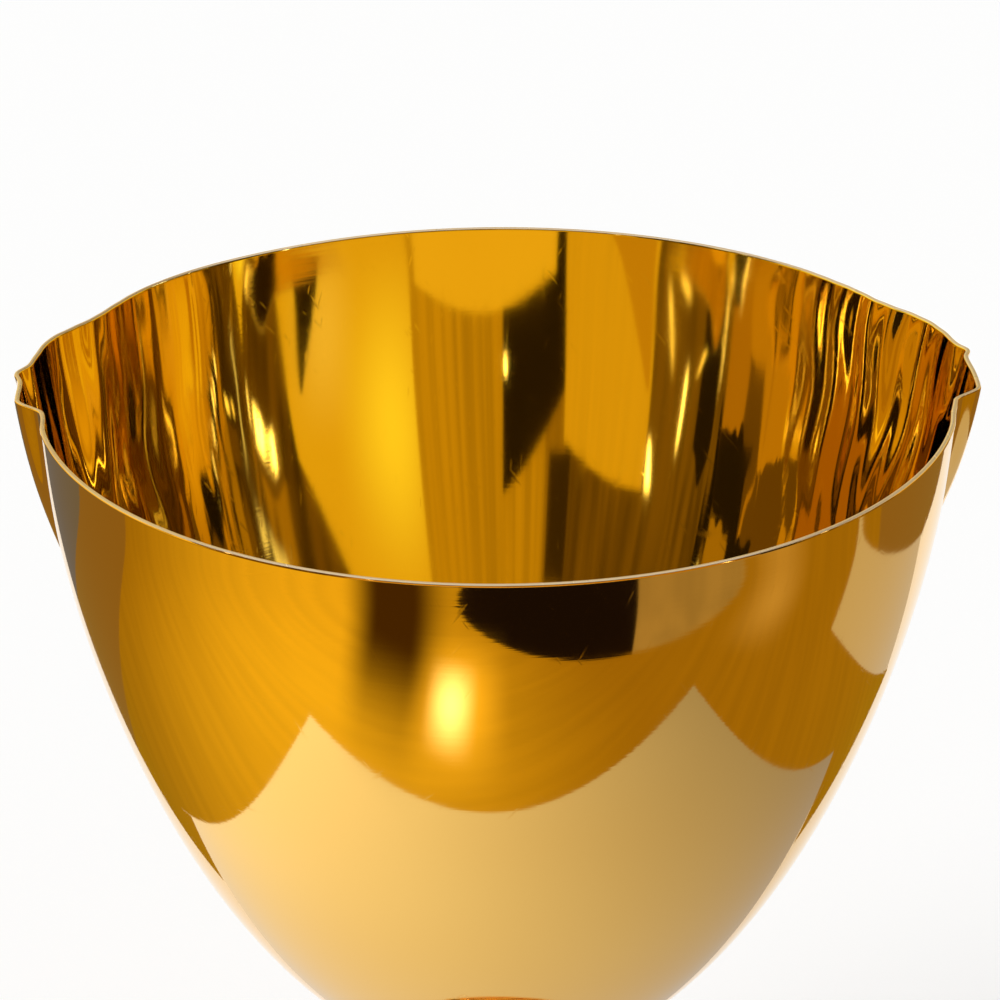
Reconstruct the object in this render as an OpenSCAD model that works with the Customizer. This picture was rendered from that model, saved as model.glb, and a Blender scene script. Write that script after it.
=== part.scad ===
// A chalice for pouring: a deep round cup with a pouring lip on either side, on a stem with a knop
// and a trumpet foot. The cup screws on to a tie rod, which runs down through the stem and clamps
// the whole stack together with a nut inside the foot.
// The foot stands on z = 0, the cup's axis is z, and the lips lie towards +x and -x.

/* [Cup] */
// Outer diameter of the round rim, away from the lips
rim_d = 116; // [90:1:150]
// Depth at which the cup's outer curve would close
cup_curve_depth = 96; // [80:1:130]
// Power of the cup's curve: a lower one is more pointed, a higher one is fuller
cup_curve_power = 1.6; // [1.3:0.05:2.2]
// Thickness of the cup's wall
cup_wall = 0.7; // [0.5:0.1:1.2]
// Thickness of the cup's floor over the boss
cup_floor = 1; // [0.8:0.1:2]
// Radius of the flat under the cup, on which the boss is brazed
cup_flat_r = 11; // [10.5:0.5:14]

/* [Pouring lips] */
// How far a lip stands out beyond the round rim
lip_reach = 3.8; // [2:0.1:6]
// How far a lip runs down the wall
lip_run = 21; // [16:1:28]
// Radius that a lip is pressed to
lip_r = 22; // [16:1:30]
// Angle by which each lip lies behind the cup's cross diameter
lip_setback = 4; // [0:1:10]

/* [Cup seat] */
// Radius of the boss's flange
boss_flange_r = 10; // [9:0.5:10.5]
// Thickness of the boss's flange
boss_flange_h = 2.5; // [2:0.5:4]
// Length of the boss below the cup
boss_h = 14; // [12:0.5:20]
// Length of the boss's bore above the end of the rod
bore_spare = 1.5; // [0.5:0.5:3]
// Radius of the boss's spigot
spigot_r = 6.8; // [6:0.1:7.5]
// Depth of the slip washer's groove in the spigot
groove_depth = 0.6; // [0.4:0.1:1]
// Thickness of the slip washer
slip_washer_h = 1; // [0.6:0.1:2]
// Radius of the collar's upper edge
collar_r = 17.5; // [14:0.5:24]
// Thickness of the collar's upper edge
collar_edge = 0.9; // [0.5:0.1:2]
// Power of the collar's flare: a lower one is more hollow
flare_power = 0.75; // [0.6:0.05:1]
// Height of the collar below the slip washer
collar_base_h = 4; // [3:0.5:8]

/* [Stem and knop] */
// Radius of the stem at its ends
stem_r = 9.6; // [9:0.1:13]
// Depth of the stem's waist
stem_waist = 0.9; // [0:0.1:1.2]
// Length of the upper stem
stem_upper_h = 8.5; // [8:0.5:30]
// Length of the lower stem
stem_lower_h = 9; // [6:0.5:40]
// Radius of the knop at its seam
knop_r = 18; // [15:0.5:30]
// Height of the knop between its two flats
knop_h = 18; // [14:0.5:40]
// Radius of the flats on top of and under the knop
knop_flat_r = 10.5; // [9.8:0.1:13]
// Thickness of the knop's shells
knop_wall = 1; // [0.6:0.1:2]
// Height of the band round the knop's seam
band_h = 2.6; // [1.5:0.1:5]
// How far the band stands out of the knop
band_proud = 0.7; // [0.3:0.1:2]
// Radius of the sleeve inside the knop
sleeve_r = 6.5; // [5.5:0.1:8]
// Radius of the ring above the knop
upper_ring_r = 11.6; // [10:0.1:15]
// Height of the ring above the knop
upper_ring_h = 2.8; // [2:0.1:6]
// Radius of the ring on the foot
lower_ring_r = 13; // [11:0.1:18]
// Height of the ring on the foot
lower_ring_h = 3; // [2:0.1:8]

/* [Foot] */
// Diameter of the foot's trumpet at its lower edge
foot_d = 64; // [55:1:150]
// Radius of the foot's neck
neck_r = 11; // [10.4:0.1:14]
// Height of the foot's trumpet
foot_h = 28; // [24:1:70]
// Power of the trumpet's curve: a higher one has a longer neck
foot_power = 2.4; // [1.6:0.1:3]
// Thickness of the foot's wall
foot_wall = 1; // [0.7:0.1:2]
// Thickness of the web that closes the neck
neck_web = 1.5; // [1:0.1:3]
// Height of the rim under the foot
foot_rim_h = 4; // [3:0.5:10]
// How far the rim stands out beyond the trumpet
foot_rim_proud = 2; // [0.5:0.1:3]
// Width of the rim, from its outside to its inside
foot_rim_w = 7; // [6:0.5:12]

/* [Tie rod] */
// Diameter of the tie rod
rod_d = 8; // [6:0.5:9]
// Length of the rod's thread inside the boss
thread_engaged = 9.5; // [8:0.5:11]
// Length of the rod below the nut
rod_tail = 3; // [1:0.5:5]
// Width of the nut across its flats
nut_af = 13; // [12:0.5:15]
// Height of the nut
nut_h = 6.5; // [5:0.5:8]
// Radius of the washer
washer_r = 8; // [7:0.5:8.5]
// Thickness of the washer
washer_h = 1.6; // [1:0.1:2]
// Thickness of the plate that the washer bears on
plate_h = 3; // [2:0.5:4]

/* [Fits] */
// Radial gap between the tie rod and the threads of the boss and the nut
thread_clearance = 0.05; // [0.02:0.01:0.1]
// Radial gap between the tie rod and the pieces that it passes through
rod_clearance = 0.4; // [0.2:0.05:0.6]
// Gap between the boss with its washer and the collar or the stem round it
boss_clearance = 0.3; // [0.2:0.05:0.5]
// Gap between the cup's curve and the collar's dish
dish_clearance = 0.3; // [0.2:0.05:0.5]
// Gap between the slip washer and the groove that holds it
slip_clearance = 0.2; // [0.1:0.05:0.3]
// Gap between the plate in the neck and the wall round it
plate_clearance = 0.4; // [0.2:0.05:1]

/* [Hidden] */
$fn = 96;

// Steps along a long curve, a short curve and the half-round of a ring
long_steps = 30;
short_steps = 12;
bead_steps = 14;
// How far a cutting shape runs past the face that it cuts
over = 1;
// Least width of the flats on a bead's two ends
bead_flat = 0.3;
// Lengths of the bar that a lip is cut from, below and above the rim, as shares of the lip's run
lip_bar_below = 1.6;
lip_bar_above = 1;

gold = [0.83, 0.63, 0.22];
steel = [0.62, 0.63, 0.65];
nylon = [0.92, 0.91, 0.87];

// Radii that follow from the diameters and fits
rim_r = rim_d / 2;
foot_r = foot_d / 2;
rod_r = rod_d / 2;
rod_hole_r = rod_r + rod_clearance;
thread_hole_r = rod_r + thread_clearance;
groove_r = spigot_r - groove_depth;
slip_washer_hole_r = groove_r + slip_clearance;
slip_washer_r = boss_flange_r;
flange_hole_r = boss_flange_r + boss_clearance;
spigot_hole_r = spigot_r + boss_clearance;
plate_r = neck_r - foot_wall - plate_clearance;
band_hole_r = knop_r - knop_wall / 2;
foot_rim_r = foot_r + foot_rim_proud;

// Heights of the stack, from the foot up
foot_z = foot_rim_h;
lower_ring_z = foot_z + foot_h;
stem_lower_z = lower_ring_z + lower_ring_h;
knop_z = stem_lower_z + stem_lower_h;
seam_z = knop_z + knop_h / 2;
upper_ring_z = knop_z + knop_h;
stem_upper_z = upper_ring_z + upper_ring_h;
collar_z = stem_upper_z + stem_upper_h;
shoulder_z = collar_z + collar_base_h;
flange_z = shoulder_z + slip_washer_h;
flat_z = flange_z + boss_flange_h;
rim_z = flat_z + outer_depth(cup_flat_r);

// Heights inside the foot, from the neck down
plate_z = lower_ring_z - neck_web - plate_h;
washer_z = plate_z - washer_h;
nut_z = washer_z - nut_h;
rod_bottom_z = nut_z - rod_tail;
boss_z = flat_z - boss_h;
rod_top_z = boss_z + thread_engaged;
bore_top_z = rod_top_z + bore_spare;

// Semi-axis of the knop's ellipse that leaves its flats at their height
knop_semi_z = knop_h / 2 / sqrt(1 - pow(knop_flat_r / knop_r, 2));

// Depth below the rim at which a cup curve of the given rim radius and closing depth has radius r
function curve_depth(r, top_r, close_depth) = close_depth * pow(1 - pow(r / top_r, 2), 1 / cup_curve_power);

// Radius of such a curve at the given depth
function curve_radius(depth, top_r, close_depth) =
    top_r * sqrt(1 - pow(depth / close_depth, cup_curve_power));

// Depth below the rim at which the cup's outside has radius r
function outer_depth(r) = curve_depth(r, rim_r, cup_curve_depth);

// Points of a cup curve from the rim down to the given depth, closer together towards the bottom
function cup_points(top_r, close_depth, bottom_depth) = [
    for (i = [0 : long_steps])
        let (depth = bottom_depth * sin(90 * i / long_steps))
            [curve_radius(depth, top_r, close_depth), rim_z - depth]
];

// Radius of the foot's trumpet at the share t of its height, and how fast it changes with height
function trumpet_radius(t) = neck_r + (foot_r - neck_r) * pow(1 - t, foot_power);
function trumpet_slope(t) = -(foot_r - neck_r) * foot_power * pow(1 - t, foot_power - 1) / foot_h;

// Points of the trumpet up to the share top_t of its height, set in from the outside by the given wall
function trumpet_points(top_t, inset) = [
    for (i = [0 : long_steps])
        let (
            t = top_t * i / long_steps,
            slope = trumpet_slope(t),
            shrink = inset / sqrt(1 + slope * slope)
        )
            [trumpet_radius(t) - shrink, foot_z + foot_h * t + shrink * slope]
];

// Points of one half of the knop's ellipse, from the seam out to its flat; side is 1 for the upper half
function knop_points(side, inset) = let (
    a = knop_r - inset,
    b = knop_semi_z - inset,
    end = asin((knop_h / 2 - inset) / b)
) [
    for (i = [0 : short_steps])
        let (angle = end * i / short_steps)
            [a * cos(angle), seam_z + side * b * sin(angle)]
];

// The cup's body without its lips, from the rim down to the given depth, as one full solid
module cup_body(top_r, close_depth, bottom_depth, top_z) {
    rotate_extrude()
        polygon(concat(
            [[0, rim_z - bottom_depth], [0, top_z], [top_r, top_z]],
            top_z > rim_z ? [[top_r, rim_z]] : [],
            [for (p = cup_points(top_r, close_depth, bottom_depth)) if (p[1] < rim_z) p]
        ));
}

// One lip as a full round bar on the +x side, leaning out of the wall, up to top_z;
// inset moves its surface in by that much
module lip_bar(inset, top_z) {
    lean = atan((rim_r + lip_reach - curve_radius(lip_run, rim_r, cup_curve_depth)) / lip_run);
    below = lip_bar_below * lip_run;
    above = lip_bar_above * lip_run;
    intersection() {
        translate([rim_r + lip_reach, 0, rim_z])
            rotate([0, lean, 0])
                translate([-lip_r, 0, -below])
                    cylinder(h = below + above, r = lip_r - inset);
        translate([0, 0, rim_z - below - above])
            cylinder(h = top_z - rim_z + below + above, r = rim_r + lip_reach + lip_r);
    }
}

// The full shape of the cup with both lips; inset moves its surface in by that much
module cup_form(inset, bottom_depth, top_z) {
    cup_body(rim_r - inset, cup_curve_depth - inset, bottom_depth, top_z);
    for (angle = [lip_setback, 180 - lip_setback])
        rotate([0, 0, angle])
            lip_bar(inset, top_z);
}

// A plain ring with a half-round outside, standing on z
module bead_ring(r, h, hole_r, z) {
    bulge = min(h / 2, r - hole_r - bead_flat);
    rotate_extrude()
        polygon(concat(
            [[hole_r, z + h], [hole_r, z]],
            [
                for (i = [0 : bead_steps])
                    let (angle = -90 + 180 * i / bead_steps)
                        [r - bulge + bulge * cos(angle), z + h / 2 + h / 2 * sin(angle)]
            ]
        ));
}

// A stem tube with a shallow waist, standing on z
module stem_tube(h, hole_r, z) {
    rotate_extrude()
        polygon(concat(
            [[hole_r, z + h], [hole_r, z]],
            [
                for (i = [0 : short_steps])
                    let (t = i / short_steps)
                        [stem_r - stem_waist * sin(180 * t), z + h * t]
            ]
        ));
}

// A flat disc with a round hole, standing on z
module flat_ring(r, h, hole_r, z) {
    translate([0, 0, z])
        difference() {
            cylinder(h = h, r = r);
            translate([0, 0, -over])
                cylinder(h = h + 2 * over, r = hole_r);
        }
}

// The spun cup with its two pressed lips
module cup() {
    flat_depth = outer_depth(cup_flat_r);
    color(gold)
        difference() {
            cup_form(0, flat_depth, rim_z);
            cup_form(cup_wall, flat_depth - cup_floor, rim_z + over);
        }
}

// The turned boss brazed under the cup, threaded inside and grooved for the slip washer
module cup_boss() {
    color(gold)
        rotate_extrude()
            polygon([
                [0, flat_z],
                [boss_flange_r, flat_z],
                [boss_flange_r, flange_z],
                [groove_r, flange_z],
                [groove_r, shoulder_z - slip_clearance],
                [spigot_r, shoulder_z - slip_clearance],
                [spigot_r, boss_z],
                [thread_hole_r, boss_z],
                [thread_hole_r, bore_top_z],
                [0, bore_top_z]
            ]);
}

// The washer that the cup turns on, caught in the boss's groove
module slip_washer() {
    color(nylon)
        flat_ring(slip_washer_r, slip_washer_h, slip_washer_hole_r, shoulder_z);
}

// The collar under the cup, dished to follow its curve
module cup_collar() {
    dish = [
        for (i = [0 : short_steps])
            let (r = flange_hole_r + (collar_r - flange_hole_r) * i / short_steps)
                [r, rim_z - outer_depth(max(r, cup_flat_r)) - dish_clearance]
    ];
    edge_z = dish[short_steps][1] - collar_edge;
    flare = [
        for (i = [short_steps : -1 : 0])
            let (t = i / short_steps)
                [stem_r + (collar_r - stem_r) * t * t, collar_z + (edge_z - collar_z) * pow(t, 2 * flare_power)]
    ];
    color(gold)
        rotate_extrude()
            polygon(concat(
                [[spigot_hole_r, collar_z], [spigot_hole_r, shoulder_z], [flange_hole_r, shoulder_z]],
                dish,
                flare
            ));
}

// The stem between the knop and the collar, bored to clear the boss
module stem_upper() {
    color(gold)
        stem_tube(stem_upper_h, spigot_hole_r, stem_upper_z);
}

// The bead between the knop and the upper stem
module upper_ring() {
    color(gold)
        bead_ring(upper_ring_r, upper_ring_h, rod_hole_r, upper_ring_z);
}

// One half of the hollow knop, with a rebate for the band; side is 1 for the upper half
module knop_half(side) {
    outer = [for (p = knop_points(side, 0)) if (abs(p[1] - seam_z) > band_h / 2) p];
    inner = knop_points(side, knop_wall);
    pole_z = seam_z + side * knop_h / 2;
    color(gold)
        rotate_extrude()
            polygon(concat(
                [[band_hole_r, seam_z], [band_hole_r, seam_z + side * band_h / 2]],
                [[knop_r * sqrt(1 - pow(band_h / 2 / knop_semi_z, 2)), seam_z + side * band_h / 2]],
                outer,
                [[sleeve_r, pole_z], [sleeve_r, pole_z - side * knop_wall]],
                [for (i = [short_steps : -1 : 0]) inner[i]]
            ));
}

module knop_upper() { knop_half(1); }

module knop_lower() { knop_half(-1); }

// The band that covers the knop's seam
module knop_band() {
    color(gold)
        bead_ring(knop_r + band_proud, band_h, band_hole_r, seam_z - band_h / 2);
}

// The sleeve inside the knop that carries the clamping load
module knop_sleeve() {
    color(gold)
        flat_ring(sleeve_r, knop_h, rod_hole_r, knop_z);
}

// The stem between the foot and the knop
module stem_lower() {
    color(gold)
        stem_tube(stem_lower_h, rod_hole_r, stem_lower_z);
}

// The bead on top of the foot
module lower_ring() {
    color(gold)
        bead_ring(lower_ring_r, lower_ring_h, rod_hole_r, lower_ring_z);
}

// The spun trumpet foot, closed at its neck by a web with a hole for the tie rod
module foot() {
    inside_top_t = 1 - neck_web / foot_h;
    inside = trumpet_points(inside_top_t, foot_wall);
    color(gold)
        difference() {
            rotate_extrude()
                polygon(concat([[0, lower_ring_z], [0, foot_z]], trumpet_points(1, 0)));
            rotate_extrude()
                polygon(concat(
                    [[0, lower_ring_z - neck_web], [0, inside[0][1]]],
                    inside,
                    [[inside[long_steps][0], lower_ring_z - neck_web]]
                ));
            translate([0, 0, lower_ring_z - neck_web - over])
                cylinder(h = neck_web + 2 * over, r = rod_hole_r);
        }
}

// The heavy rim that the foot stands on
module foot_rim() {
    color(gold)
        bead_ring(foot_rim_r, foot_rim_h, foot_rim_r - foot_rim_w, 0);
}

// The plate in the neck that takes the nut's pull
module foot_plate() {
    color(gold)
        flat_ring(plate_r, plate_h, rod_hole_r, plate_z);
}

// The rod that clamps the stack, threaded at both ends
module tie_rod() {
    color(steel)
        translate([0, 0, rod_bottom_z])
            cylinder(h = rod_top_z - rod_bottom_z, r = rod_r);
}

// The washer under the nut
module tie_washer() {
    color(steel)
        flat_ring(washer_r, washer_h, rod_hole_r, washer_z);
}

// The hexagon nut inside the foot
module tie_nut() {
    color(steel)
        translate([0, 0, nut_z])
            difference() {
                cylinder(h = nut_h, d = nut_af / cos(30), $fn = 6);
                translate([0, 0, -over])
                    cylinder(h = nut_h + 2 * over, r = thread_hole_r);
            }
}

cup();
cup_boss();
slip_washer();
cup_collar();
stem_upper();
upper_ring();
knop_upper();
knop_band();
knop_lower();
knop_sleeve();
stem_lower();
lower_ring();
foot();
foot_rim();
foot_plate();
tie_rod();
tie_washer();
tie_nut();
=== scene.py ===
"""Looks of the pouring chalice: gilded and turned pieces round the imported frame, in a plain pale studio.

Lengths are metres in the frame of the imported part: the foot stands on z = 0 and the lips lie towards
+x and -x. Angles are degrees, unless a name ends in rad.
"""

from __future__ import annotations

import functools
import logging
import math
from collections.abc import Callable, Iterator, Sequence
from dataclasses import dataclass
from enum import Enum
from typing import Any, NamedTuple

import bmesh
import bpy
import numpy as np
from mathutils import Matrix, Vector


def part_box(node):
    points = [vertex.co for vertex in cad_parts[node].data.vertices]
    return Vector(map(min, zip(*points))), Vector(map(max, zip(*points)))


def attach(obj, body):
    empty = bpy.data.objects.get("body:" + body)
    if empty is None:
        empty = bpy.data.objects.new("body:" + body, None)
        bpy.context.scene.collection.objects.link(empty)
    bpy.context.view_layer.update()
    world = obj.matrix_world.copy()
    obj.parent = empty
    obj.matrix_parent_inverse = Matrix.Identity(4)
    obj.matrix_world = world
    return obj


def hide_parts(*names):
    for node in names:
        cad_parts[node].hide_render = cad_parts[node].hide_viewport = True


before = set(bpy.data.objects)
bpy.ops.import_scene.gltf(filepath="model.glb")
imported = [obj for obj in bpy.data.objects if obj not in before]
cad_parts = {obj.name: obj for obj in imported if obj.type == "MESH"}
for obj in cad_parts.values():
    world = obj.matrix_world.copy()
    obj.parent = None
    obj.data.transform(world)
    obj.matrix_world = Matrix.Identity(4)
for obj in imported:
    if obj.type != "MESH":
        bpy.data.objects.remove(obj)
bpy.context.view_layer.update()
MM = 0.001
FULL_TURN_RAD = 2 * math.pi
LOG = logging.getLogger("chalice")

Point = tuple[float, float]
Triple = tuple[float, float, float]
Colour = Triple
Quad = tuple[Point, Point, Point, Point]
MeshData = tuple[np.ndarray, list[tuple[int, ...]]]


class Body(Enum):
    """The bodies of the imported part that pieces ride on."""

    STAND = "stand"
    WASHER = "washer_carrier"
    CUP = "cup_body"


class Slot(Enum):
    """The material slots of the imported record."""

    GILT = "gilt"
    BRASS = "turned_brass"
    STEEL = "steel"
    NYLON = "nylon"


class Wire:
    """A node's output that takes part in Python expressions; each operator adds one Math node."""

    def __init__(self, sheet: NodeSheet, socket: bpy.types.NodeSocket) -> None:
        """Keeps the output and the sheet that it belongs to."""
        self.sheet = sheet
        self.socket = socket

    def maths(self, operation: str, first: Any, second: Any = 0.0) -> Wire:
        """Adds one Math node for two values, wires or numbers, and returns its result."""
        return self.sheet.wire("ShaderNodeMath", {"operation": operation}, {0: first, 1: second})

    def __add__(self, other: Any) -> Wire:
        """Returns the sum."""
        return self.maths("ADD", self, other)

    __radd__ = __add__

    def __sub__(self, other: Any) -> Wire:
        """Returns the difference."""
        return self.maths("SUBTRACT", self, other)

    def __rsub__(self, other: Any) -> Wire:
        """Returns the difference from the other value."""
        return self.maths("SUBTRACT", other, self)

    def __mul__(self, other: Any) -> Wire:
        """Returns the product."""
        return self.maths("MULTIPLY", self, other)

    __rmul__ = __mul__

    def larger(self, other: Any) -> Wire:
        """Returns the larger of the two values."""
        return self.maths("MAXIMUM", self, other)

    def eased(self, low: float, high: float) -> Wire:
        """Returns the value eased from 0 at low to 1 at high, which may lie below low."""
        inputs = {"Value": self, "From Min": low, "From Max": high}
        return self.sheet.wire("ShaderNodeMapRange", {"interpolation_type": "SMOOTHSTEP"}, inputs)


class NodeSheet:
    """The nodes of one material or of the world."""

    # Sockets of a Mix node that carry colours; their names alone don't tell them apart.
    MIX_SHARE, MIX_FIRST, MIX_SECOND, MIX_RESULT = 0, 6, 7, 2

    def __init__(self, tree: bpy.types.NodeTree) -> None:
        """Starts from an empty tree."""
        self.tree = tree
        self.tree.nodes.clear()

    def node(self, kind: str, settings: dict[str, Any] | None = None,
             inputs: dict[str | int, Any] | None = None) -> bpy.types.Node:
        """Adds one node.

        Args:
            kind: The node's type.
            settings: Its properties, which are set first.
            inputs: Values, wires or sockets for its own sockets, by name or number.

        Returns:
            The new node.
        """
        made = self.tree.nodes.new(kind)
        for name, value in (settings or {}).items():
            setattr(made, name, value)
        for name, value in (inputs or {}).items():
            if isinstance(value, Wire):
                self.tree.links.new(value.socket, made.inputs[name])
            elif isinstance(value, bpy.types.NodeSocket):
                self.tree.links.new(value, made.inputs[name])
            else:
                made.inputs[name].default_value = value
        return made

    def wire(self, kind: str, settings: dict[str, Any] | None = None,
             inputs: dict[str | int, Any] | None = None, output: str | int = 0) -> Wire:
        """Adds one node as above and returns the wire of its output of that name or number."""
        return Wire(self, self.node(kind, settings, inputs).outputs[output])

    def shader(self, kind: str, inputs: dict[str | int, Any] | None = None) -> bpy.types.NodeSocket:
        """Adds a shader node and returns its output."""
        return self.node(kind, None, inputs).outputs[0]

    def place(self) -> Wire:
        """Returns the point on the piece, in the part's frame at rest."""
        return self.wire("ShaderNodeTexCoord", output="Object")

    def vector(self, operation: str, first: Any, second: Any, output: str = "Vector") -> Wire:
        """Adds one Vector Math node and returns its output: Vector, or Value for a length."""
        return self.wire("ShaderNodeVectorMath", {"operation": operation}, {0: first, 1: second}, output)

    def stretched(self, vector: Wire, scale: Triple, turn: Triple = (0.0, 0.0, 0.0)) -> Wire:
        """Turns a vector and scales it.

        Args:
            vector: The vector.
            scale: Factor along each axis.
            turn: Rotation about each axis.

        Returns:
            The wire of the new vector.
        """
        inputs = {"Vector": vector, "Rotation": tuple(math.radians(a) for a in turn)}
        turned_vector = self.wire("ShaderNodeVectorRotate", {"rotation_type": "EULER_XYZ"}, inputs)
        return self.vector("MULTIPLY", turned_vector, scale)

    def noise(self, vector: Wire, scale: float = 1.0, detail: float = 2.0) -> Wire:
        """Returns a noise of about 0.5 at the vector, at the given scale and detail."""
        inputs = {"Vector": vector, "Scale": scale, "Detail": detail}
        return self.wire("ShaderNodeTexNoise", None, inputs)

    def blend(self, share: Wire, first: Colour | Wire, second: Colour | Wire) -> Wire:
        """Mixes two colours.

        Args:
            share: Share of the second colour, from 0 to 1.
            first: Colour at 0.
            second: Colour at 1.

        Returns:
            The wire of the mixed colour.
        """
        ends = [end if isinstance(end, Wire) else (*end, 1.0) for end in (first, second)]
        inputs = {self.MIX_SHARE: share, self.MIX_FIRST: ends[0], self.MIX_SECOND: ends[1]}
        return self.wire("ShaderNodeMix", {"data_type": "RGBA"}, inputs, self.MIX_RESULT)

    def bump(self, height: Wire, depth: float) -> Wire:
        """Returns the normal of a surface raised by the height times the depth."""
        return self.wire("ShaderNodeBump", None, {"Height": height, "Distance": depth, "Strength": 1.0})

    def finish(self, shader: bpy.types.NodeSocket, kind: str = "ShaderNodeOutputMaterial") -> None:
        """Leads a shader to the output of the material or the world."""
        self.node(kind, None, {"Surface": shader})


def made_once(name: str, fill: Callable[[NodeSheet], bpy.types.NodeSocket]) -> bpy.types.Material:
    """Gives the material of a name.

    Args:
        name: The material's name.
        fill: Adds the nodes of a new material and returns its shader.

    Returns:
        The material, which the first call makes.
    """
    found = bpy.data.materials.get(name)
    if found is None:
        found = bpy.data.materials.new(name)
        found.use_nodes = True
        sheet = NodeSheet(found.node_tree)
        sheet.finish(fill(sheet))
    return found


def placed(name: str, data: bpy.types.ID) -> bpy.types.Object:
    """Returns a new object of that name in the scene."""
    made = bpy.data.objects.new(name, data)
    bpy.context.scene.collection.objects.link(made)
    return made


@dataclass(frozen=True)
class Finish:
    """A finish that a piece is dressed with; each kind fills its own nodes."""

    name: str
    slot: Slot

    def fill(self, sheet: NodeSheet) -> dict[str, Any]:
        """Adds the finish's nodes and returns values and wires for the surface shader."""
        raise NotImplementedError

    def material(self) -> bpy.types.Material:
        """Returns the material of this finish."""
        return made_once(self.name, lambda sheet: sheet.shader("ShaderNodeBsdfPrincipled", self.fill(sheet)))


@dataclass(frozen=True)
class Gilt(Finish):
    """Gold plate: fine lines from spinning, hairline scratches from use, and a breath of haze."""

    deep: Colour = (0.95, 0.555, 0.132)
    light: Colour = (1.0, 0.61, 0.16)
    roughness: float = 0.03
    haze: float = 0.03
    scratched: float = 0.05
    line_depth: float = 1.2e-6
    line_sheen: float = 0.012
    metallic: float = 1.0
    line_scale: Triple = (25.0, 25.0, 2600.0)
    slant_scale: Triple = (90.0, 2400.0, 260.0)
    slant_turn: Triple = (24.0, 8.0, 35.0)
    cross_scale: Triple = (2100.0, 70.0, 240.0)
    cross_turn: Triple = (-18.0, 30.0, -20.0)
    slant_span: Point = (0.70, 0.76)
    cross_span: Point = (0.71, 0.77)
    scratch_cut: float = 0.6
    cloud_scale: float = 38.0
    cloud_span: Point = (0.42, 0.75)
    tone_scale: float = 14.0
    tone_span: Point = (0.3, 0.7)

    def fill(self, sheet: NodeSheet) -> dict[str, Any]:
        """Adds the nodes of polished gold plate and returns the shader's inputs."""
        place = sheet.place()
        lines = sheet.noise(sheet.stretched(place, self.line_scale), detail=3.0)
        cloud = sheet.noise(place, self.cloud_scale, detail=3.0).eased(*self.cloud_span)
        tone = sheet.noise(place, self.tone_scale).eased(*self.tone_span)
        slant = sheet.noise(sheet.stretched(place, self.slant_scale, self.slant_turn), detail=1.0)
        cross = sheet.noise(sheet.stretched(place, self.cross_scale, self.cross_turn), detail=1.0)
        scratches = slant.eased(*self.slant_span).larger(cross.eased(*self.cross_span))
        rough = self.roughness + cloud * self.haze + scratches * self.scratched + lines * self.line_sheen
        return {
            "Base Color": sheet.blend(tone, self.deep, self.light),
            "Metallic": self.metallic,
            "Roughness": rough,
            "Normal": sheet.bump(lines - scratches * self.scratch_cut, self.line_depth),
        }


@dataclass(frozen=True)
class TurnedMetal(Finish):
    """Metal left from the lathe: rings of tool marks, a little stain, and a worn sheen."""

    dark: Colour
    light: Colour
    roughness: float = 0.22
    mark_scale: float = 3200.0
    mark_depth: float = 6e-6
    mark_sheen: float = 0.12
    stain_scale: float = 160.0
    stain_span: Point = (0.35, 0.7)
    stain_sheen: float = 0.10

    def fill(self, sheet: NodeSheet) -> dict[str, Any]:
        """Adds the nodes of turned metal and returns the shader's inputs."""
        place = sheet.place()
        across = sheet.vector("MULTIPLY", place, (self.mark_scale, self.mark_scale, 0.0))
        radius = sheet.vector("LENGTH", across, (0.0, 0.0, 0.0), "Value")
        up = sheet.wire("ShaderNodeSeparateXYZ", None, {0: place}, output="Z")
        track = sheet.wire("ShaderNodeCombineXYZ", None, {"X": radius, "Y": up * self.mark_scale})
        marks = sheet.noise(track)
        stain = sheet.noise(place, self.stain_scale, detail=4.0)
        return {
            "Base Color": sheet.blend(stain.eased(*self.stain_span), self.dark, self.light),
            "Metallic": 1.0,
            "Roughness": self.roughness + marks * self.mark_sheen + stain * self.stain_sheen,
            "Normal": sheet.bump(marks, self.mark_depth),
        }


@dataclass(frozen=True)
class Nylon(Finish):
    """Moulded nylon: off-white, faintly mottled, with a soft skin."""

    dark: Colour = (0.78, 0.75, 0.66)
    light: Colour = (0.90, 0.88, 0.81)
    roughness: float = 0.38
    mottle_scale: float = 420.0
    mottle_span: Point = (0.3, 0.7)
    mottle_sheen: float = 0.16
    skin_scale: float = 5200.0
    skin_depth: float = 8e-6
    translucence: float = 0.15
    scatter: float = 1 * MM

    def fill(self, sheet: NodeSheet) -> dict[str, Any]:
        """Adds the nodes of moulded nylon and returns the shader's inputs."""
        place = sheet.place()
        mottle = sheet.noise(place, self.mottle_scale, detail=4.0)
        return {
            "Base Color": sheet.blend(mottle.eased(*self.mottle_span), self.dark, self.light),
            "Roughness": self.roughness + mottle * self.mottle_sheen,
            "Subsurface Weight": self.translucence,
            "Subsurface Scale": self.scatter,
            "Normal": sheet.bump(sheet.noise(place, self.skin_scale), self.skin_depth),
        }


GILT = Gilt("gilt_polished", Slot.GILT)
GILT_CUP = Gilt("gilt_cup_inside", Slot.GILT, deep=(0.86, 0.655, 0.21), light=(0.90, 0.70, 0.25))
# Painted highlight: paler, half-metallic gold for the upward faces of the rim's edge, standing in for their
# reflection.
GILT_EDGE_HIGHLIGHT = Gilt(
    "gilt_rim_painted_highlight", Slot.GILT, deep=(0.62, 0.47, 0.29), light=(0.80, 0.64, 0.43), roughness=0.22, haze=0.10,
    metallic=0.5)
GILT_SATIN = Gilt("gilt_satin", Slot.GILT, roughness=0.16, haze=0.12, scratched=0.06, line_depth=9e-6)
BRASS = TurnedMetal("brass_turned", Slot.BRASS, (0.55, 0.36, 0.13), (0.80, 0.58, 0.24))
STEEL = TurnedMetal("steel_bright", Slot.STEEL, (0.38, 0.38, 0.39), (0.62, 0.63, 0.64), roughness=0.2)
NYLON = Nylon("nylon_moulded", Slot.NYLON)


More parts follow.
